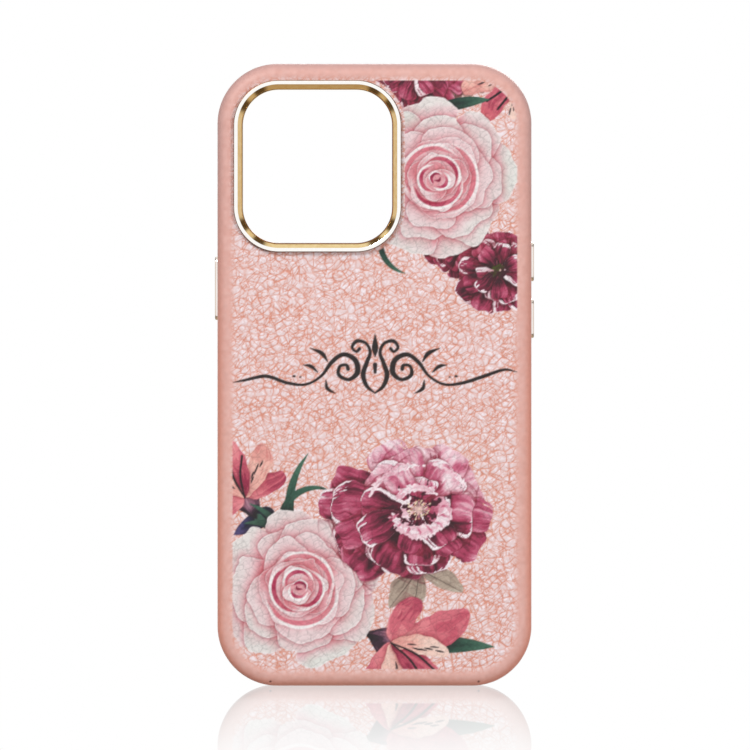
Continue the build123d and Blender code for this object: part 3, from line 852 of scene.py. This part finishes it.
leather, rim = sheet_piece("leather_skin", places, out, faces, LEATHER, 70.0)
ink_and_painted_light = np.ones((len(leather.data.vertices), 4))
ink_and_painted_light[:len(base), :3] = linear(base)
ink_and_painted_light[rim, :3] = tone(205, 140, 126)
ink_and_painted_light[len(base):, :3] = tone(196, 128, 112)
leather.data.color_attributes.new("ink_and_painted_light", "FLOAT_COLOR", "POINT").data.foreach_set("color", ink_and_painted_light.ravel())
finish(leather, "case_body", "leather", "leather_cover")

# ================================================================== the suede lining
lining_low, lining_high = (np.array(corner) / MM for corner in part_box("microfibre_lining"))
lining_half = (float(lining_high[0]), float(lining_high[2] - lining_low[2]) / 2)


def lining_left(p):
    """How far each point is from the lining's outline or its window; negative outside it."""
    margin = 0.02
    corner = CORNER - (HALF_W - lining_half[0])
    sheet = -rounded(p[:, 0], p[:, 1] - MID_Z, lining_half[0] - margin, lining_half[1] - margin, corner)
    return np.minimum(sheet, outside_frame(p[:, 0], p[:, 1], LINING_INSET))


step = 0.5
nap_depth = 0.13
columns, rows = (np.arange(lining_low[k], lining_high[k] + step, step) for k in (0, 2))
points, faces = clipped_grid(columns, rows, lining_left)
nap = 0.07 * noise(points[:, 0], points[:, 1], 0.9, 21) + 0.05 * noise(points[:, 0], points[:, 1], 4.0, 22)
places = np.stack([points[:, 0], lining_high[1] - nap, points[:, 1]], 1)
faces = [f[::-1] for f in faces]
up = np.tile((0.0, 1.0, 0.0), (len(places), 1))
lining_thick = float(lining_high[1] - lining_low[1]) - nap_depth
lining, _ = sheet_piece("suede_lining", places, up, faces, lining_thick, 60.0)
finish(lining, "case_body", "microfibre", "microfibre_lining")

# ================================================================== the camera frame
frame_low, frame_high = (np.array(corner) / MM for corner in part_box("camera_frame"))
face_y, neck_y = float(frame_low[1]), float(frame_high[1])
under_y = BACK_Y - 0.15     # the flange's underside, on its gasket
# (inset, y) from the outer edge over the polished flat and down the gilt bevel to the neck
section = [
    (0.0, under_y), (0.0, face_y + 0.17), (0.05, face_y + 0.05), (0.16, face_y), (0.92, face_y),
    (1.02, face_y + 0.03), (1.12, face_y + 0.10), (1.45, face_y + 0.36), (1.78, face_y + 0.63),
    (2.12, face_y + 0.91), (2.25, face_y + 1.20), (2.25, neck_y), (1.4, neck_y), (1.4, under_y),
]
rings = []
for inset, y in section:
    flat_ring = ring(FRAME_X, FRAME_Z, FRAME_HALF[0] - inset, FRAME_HALF[1] - inset, FRAME_R - inset, 24)
    rings.append([(x, y, z) for x, z in flat_ring])
verts, faces = loft(rings, True)
faces = [f[::-1] for f in faces]
trim = make("camera_trim", verts, faces, 28.0)
for key in ("frame_polish", "frame_gilt", "frame_dark"):
    trim.data.materials.append(finishes[key])
around = len(rings[0])
POLISH, GILT, DARK_REFLECTION = range(3)
for polygon in trim.data.polygons:
    row = polygon.index // around
    # rows 0 to 2, the outer wall and chamfer, are a painted dark reflection; row 9, the bevel's last step at
    # the window, a painted shadow line
    polygon.material_index = DARK_REFLECTION if row in (0, 1, 2, 9) else POLISH if row in (3, 4) else GILT
finish(trim, "case_body", "frame_metal", "camera_frame")

# ================================================================== the keys
for name, (side, mid, length) in KEYS.items():
    key_low, key_high = (np.array(corner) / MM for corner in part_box(name))
    top = float(key_high[0] if side > 0 else -key_low[0])
    foot = float(-key_high[0] if side < 0 else key_low[0])
    base_x = HALF_W - KEY_ROOT
    rings = []
    crown = ((top - base_x, 0.0), (0.32, 0.0), (0.2, 0.04), (0.08, 0.14), (0.01, 0.28), (0, 0.42), (0, 0.8))
    for down, inset in crown:
        flat_ring = ring(SIDE_Y, mid, KEY_HALF - inset, length / 2 - inset, KEY_R - inset, 10)
        rings.append([(side * (top - down), y, z) for y, z in flat_ring])
    verts, faces = loft(rings, False)
    for stem in (-0.5, 0.5):
        flat_ring = ring(SIDE_Y, mid + stem * STEM_AT * length, *STEM_HALF, STEM_R, 4)
        stem_rings = [[(side * x, y, z) for y, z in flat_ring] for x in (foot, base_x + 0.02)]
        more, more_faces = loft(stem_rings, False)
        faces += [[v + len(verts) for v in f] for f in more_faces]
        verts = verts + more
    if side < 0:
        faces = [f[::-1] for f in faces]
    finish(make(name + "_cap", verts, faces, 30.0), name.replace("_key", "_key_body"), "key_metal", name)

# ================================================================== finishes for the CAD nodes that stay
node_finish = {
    "leather_bond_film": "bond_film", "lining_bond_film": "bond_film", "hard_shell": "shell_plastic",
    "bumper_frame": "soft_rubber", "camera_frame_gasket": "gasket",
}
for name in KEYS:
    node_finish[name + "_clip"] = "spring_steel"
    node_finish[name + "_pad"] = "silicone"
for name, key in node_finish.items():
    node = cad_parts[name]
    if not node.material_slots:
        node.data.materials.append(finishes[key])
    for place in node.material_slots:
        place.material = finishes[key]

# ================================================================== room, light and camera, in metres and watts
scene = bpy.context.scene
scene.view_settings.view_transform = "Standard"

world = bpy.data.worlds.new("studio")
scene.world = world
world.use_nodes = True
world.cycles.sampling_method = "NONE"
nodes, links = world.node_tree.nodes, world.node_tree.links
nodes.clear()
rays = nodes.new("ShaderNodeLightPath")
look = nodes.new("ShaderNodeTexCoord")
split = nodes.new("ShaderNodeSeparateXYZ")
links.new(look.outputs["Generated"], split.inputs[0])


def range_of(socket, a, b, low, high):
    """Eased from low, where the socket is a, to high, where it is b."""
    node = nodes.new("ShaderNodeMapRange")
    node.interpolation_type = "SMOOTHSTEP"
    for key, value in zip(("From Min", "From Max", "To Min", "To Max"), (a, b, low, high)):
        node.inputs[key].default_value = value
    links.new(socket, node.inputs["Value"])
    return node.outputs["Result"]


def times(a, b):
    """One socket multiplied by another."""
    node = nodes.new("ShaderNodeMath")
    node.operation = "MULTIPLY"
    links.new(a, node.inputs[0])
    links.new(b, node.inputs[1])
    return node.outputs[0]


def background(colour, strength):
    """An even light from everywhere, or one whose colour a socket gives."""
    node = nodes.new("ShaderNodeBackground")
    if isinstance(colour, bpy.types.NodeSocket):
        links.new(colour, node.inputs["Color"])
    else:
        node.inputs["Color"].default_value = (*colour, 1)
    node.inputs["Strength"].default_value = strength
    return node.outputs[0]


def either(factor, a, b):
    """The world's light: a where factor is 0, b where it is 1."""
    node = nodes.new("ShaderNodeMixShader")
    links.new(factor, node.inputs[0])
    links.new(a, node.inputs[1])
    links.new(b, node.inputs[2])
    return node.outputs[0]


def ramp_of(socket, rows):
    """A colour ramp of (position, colour) rows."""
    node = nodes.new("ShaderNodeValToRGB")
    links.new(socket, node.inputs[0])
    for k, (at, colour) in enumerate(rows):
        stop = node.color_ramp.elements[k] if k < 2 else node.color_ramp.elements.new(at)
        stop.position = at
        stop.color = (*colour, 1)
    return node.outputs["Color"]


def flags(end, corner, side):
    """Colours round a half turn, from straight up or down at 0 to level at 1."""
    dark = (0.10, 0.065, 0.035)
    return ((0.0, end), (0.07, end), (0.14, dark), (0.34, dark), (0.42, corner),
            (0.58, corner), (0.66, dark), (0.86, dark), (0.93, side), (1.0, side))


# What metal sees: white in front and behind, and around the sides dark flags with a bright gap in each corner
level = times(split.outputs["X"], split.outputs["X"])
total = nodes.new("ShaderNodeMath")
total.operation = "ADD"
links.new(level, total.inputs[0])
links.new(times(split.outputs["Z"], split.outputs["Z"]), total.inputs[1])
share = nodes.new("ShaderNodeMath")
share.operation = "DIVIDE"
links.new(level, share.inputs[0])
links.new(total.outputs[0], share.inputs[1])
above = ramp_of(share.outputs[0], flags((0.95, 0.93, 0.88), (0.95, 0.90, 0.80), (0.80, 0.73, 0.66)))
below = ramp_of(share.outputs[0], flags((0.52, 0.40, 0.27), (0.66, 0.54, 0.38), (0.80, 0.73, 0.66)))
around = mixed(nodes, links, range_of(split.outputs["Z"], -0.1, 0.1, 0, 1), below, above)
band = times(range_of(split.outputs["Y"], -0.92, -0.7, 0, 1), range_of(split.outputs["Y"], 0.85, 0.6, 0, 1))
seen = mixed(nodes, links, band, (1.0, 1.0, 1.0), around)
light = either(rays.outputs["Is Glossy Ray"], background((1.0, 0.985, 0.97), 0.37), background(seen, 1.0))
light = either(rays.outputs["Is Camera Ray"], light, background((1, 1, 1), 1.0))
end = nodes.new("ShaderNodeOutputWorld")
links.new(light, end.inputs[0])


def soft_light(name, place, size, power, in_metal=True):
    """A round lamp aimed at the middle of the case."""
    lamp = bpy.data.lights.new(name, "AREA")
    lamp.shape = "DISK"
    lamp.size = size
    lamp.energy = power
    ob = bpy.data.objects.new(name, lamp)
    scene.collection.objects.link(ob)
    ob.location = place
    aim = np.array((0, 0, MID_Z * MM)) - np.array(place)
    tilt = math.atan2(math.hypot(aim[0], aim[1]), -aim[2])
    ob.rotation_euler = (tilt, 0, math.atan2(aim[0], -aim[1]) + math.pi)
    ob.visible_glossy = in_metal


soft_light("key", (-0.5, -1.05, 0.9), 0.4, 9.6)
soft_light("fill", (0.85, -1.5, 0.2), 0.6, 12.4, in_metal=False)
soft_light("back", (0.4, 1.4, 0.9), 0.8, 11.0)

# A white floor that mirrors the case, less and less with the distance from it
floor_half = 30.0
floor_corners = np.array([(-1, -1, 0), (1, -1, 0), (1, 1, 0), (-1, 1, 0)]) * floor_half / MM
floor = make("floor", floor_corners, [[0, 1, 2, 3]])
floor.visible_diffuse = False
floor.visible_glossy = False
floor_mat = bpy.data.materials.new("pale_floor")
floor_mat.use_nodes = True
nodes, links = floor_mat.node_tree.nodes, floor_mat.node_tree.links
nodes.clear()
spot = nodes.new("ShaderNodeNewGeometry")
white = nodes.new("ShaderNodeEmission")
white.inputs["Color"].default_value = (1, 1, 1, 1)
mirror = nodes.new("ShaderNodeBsdfGlossy")
mirror.inputs["Color"].default_value = (1, 1, 1, 1)
mirror.inputs["Roughness"].default_value = 0.0
distance = nodes.new("ShaderNodeVectorMath")
distance.operation = "LENGTH"
links.new(spot.outputs["Position"], distance.inputs[0])
mirrored = ((0.0, 0.45), (0.06, 0.42), (0.083, 0.33), (0.124, 0.29), (0.174, 0.24), (0.223, 0.175),
            (0.267, 0.107), (0.34, 0.03), (0.42, 0.0))
fade = ramp_of(distance.outputs["Value"], [(at, (amount,) * 3) for at, amount in mirrored])
gloss = nodes.new("ShaderNodeMixShader")
links.new(fade, gloss.inputs[0])
links.new(white.outputs[0], gloss.inputs[1])
links.new(mirror.outputs[0], gloss.inputs[2])
end = nodes.new("ShaderNodeOutputMaterial")
links.new(gloss.outputs[0], end.inputs[0])
floor.data.materials.append(floor_mat)

DISTANCE = 1.6
FIELD = 0.1831              # width of the picture at FIELD_Y
FIELD_Y = -0.003
SENSOR = 36.0
camera = bpy.data.objects.new("camera", bpy.data.cameras.new("camera"))
scene.collection.objects.link(camera)
camera.location = (0.00013, -DISTANCE, 0.0759)
camera.rotation_euler = (math.pi / 2, 0, 0)
camera.data.sensor_width = SENSOR
camera.data.lens = SENSOR * (DISTANCE + FIELD_Y) / FIELD
camera.data.clip_start = 0.01
camera.data.clip_end = 100.0
scene.camera = camera
